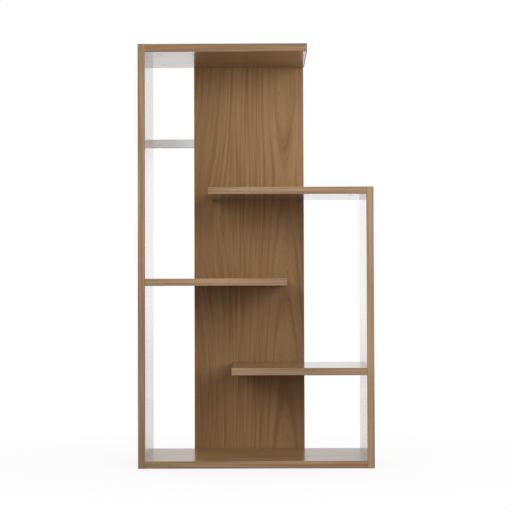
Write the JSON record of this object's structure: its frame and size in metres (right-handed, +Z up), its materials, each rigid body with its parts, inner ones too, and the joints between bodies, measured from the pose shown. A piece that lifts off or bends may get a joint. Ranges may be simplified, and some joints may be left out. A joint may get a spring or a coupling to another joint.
{
  "type": "staircase bookshelf",
  "caption": "Open oak-look bookcase whose outline steps down from a tall left side to a low right side, with staggered fixed shelves in front of one upright back panel.",
  "frame": {"origin": "on the floor under the middle of the bookshelf's box", "axes": "+Z up, the open front faces -Y, +X runs to the low right side as seen from the front"},
  "size_m": [0.58, 0.239, 1.046],
  "materials": {
    "oak_board": "satin oak-grain melamine",
    "oak_edge_band": "satin oak-grain edge band",
    "grey_rail": "satin pale grey foil on board",
    "plated_steel": "zinc-plated steel",
    "zinc_cam": "die-cast zinc",
    "beech_dowel": "raw beech",
    "cover_cap": "oak-coloured plastic",
    "foil_cap": "oak-grain adhesive foil",
    "grey_cap": "pale grey plastic",
    "glide_plastic": "brown plastic"
  },
  "bodies": {
    "root": {"back_panel": "oak_board", "back_panel_dowels": "beech_dowel", "back_panel_left_edge_band": "oak_edge_band", "back_panel_right_edge_band": "oak_edge_band", "back_panel_screw_caps": "cover_cap", "back_panel_screws": "plated_steel", "back_panel_top_edge_band": "oak_edge_band", "bottom_panel": "oak_board", "bottom_panel_cam_discs": "zinc_cam", "bottom_panel_front_edge_band": "oak_edge_band", "bottom_panel_rear_edge_band": "oak_edge_band", "floor_glides": "glide_plastic", "glide_nails": "plated_steel", "left_side_cam_bolts": "plated_steel", "left_side_dowels": "beech_dowel", "left_side_panel": "oak_board", "left_side_panel_front_edge_band": "oak_edge_band", "left_side_panel_rear_edge_band": "oak_edge_band", "left_side_panel_top_edge_band": "oak_edge_band", "lower_right_shelf": "oak_board", "lower_right_shelf_cam_caps": "foil_cap", "lower_right_shelf_cam_discs": "zinc_cam", "lower_right_shelf_front_edge_band": "oak_edge_band", "lower_right_shelf_left_edge_band": "oak_edge_band", "lower_right_shelf_rear_edge_band": "oak_edge_band", "middle_left_shelf": "oak_board", "middle_left_shelf_cam_caps": "foil_cap", "middle_left_shelf_cam_discs": "zinc_cam", "middle_left_shelf_front_edge_band": "oak_edge_band", "middle_left_shelf_rear_edge_band": "oak_edge_band", "middle_left_shelf_right_edge_band": "oak_edge_band", "rail_dowels": "beech_dowel", "rail_screw": "plated_steel", "rail_screw_cap": "grey_cap", "rear_rail": "grey_rail", "right_side_cam_bolts": "plated_steel", "right_side_dowels": "beech_dowel", "right_side_panel": "oak_board", "right_side_panel_front_edge_band": "oak_edge_band", "right_side_panel_rear_edge_band": "oak_edge_band", "right_side_panel_top_edge_band": "oak_edge_band", "top_panel": "oak_board", "top_panel_cam_caps": "foil_cap", "top_panel_cam_discs": "zinc_cam", "top_panel_front_edge_band": "oak_edge_band", "top_panel_rear_edge_band": "oak_edge_band", "top_panel_right_edge_band": "oak_edge_band", "upper_right_shelf": "oak_board", "upper_right_shelf_cam_caps": "foil_cap", "upper_right_shelf_cam_discs": "zinc_cam", "upper_right_shelf_front_edge_band": "oak_edge_band", "upper_right_shelf_left_edge_band": "oak_edge_band", "upper_right_shelf_rear_edge_band": "oak_edge_band"}
  },
  "joints": []
}
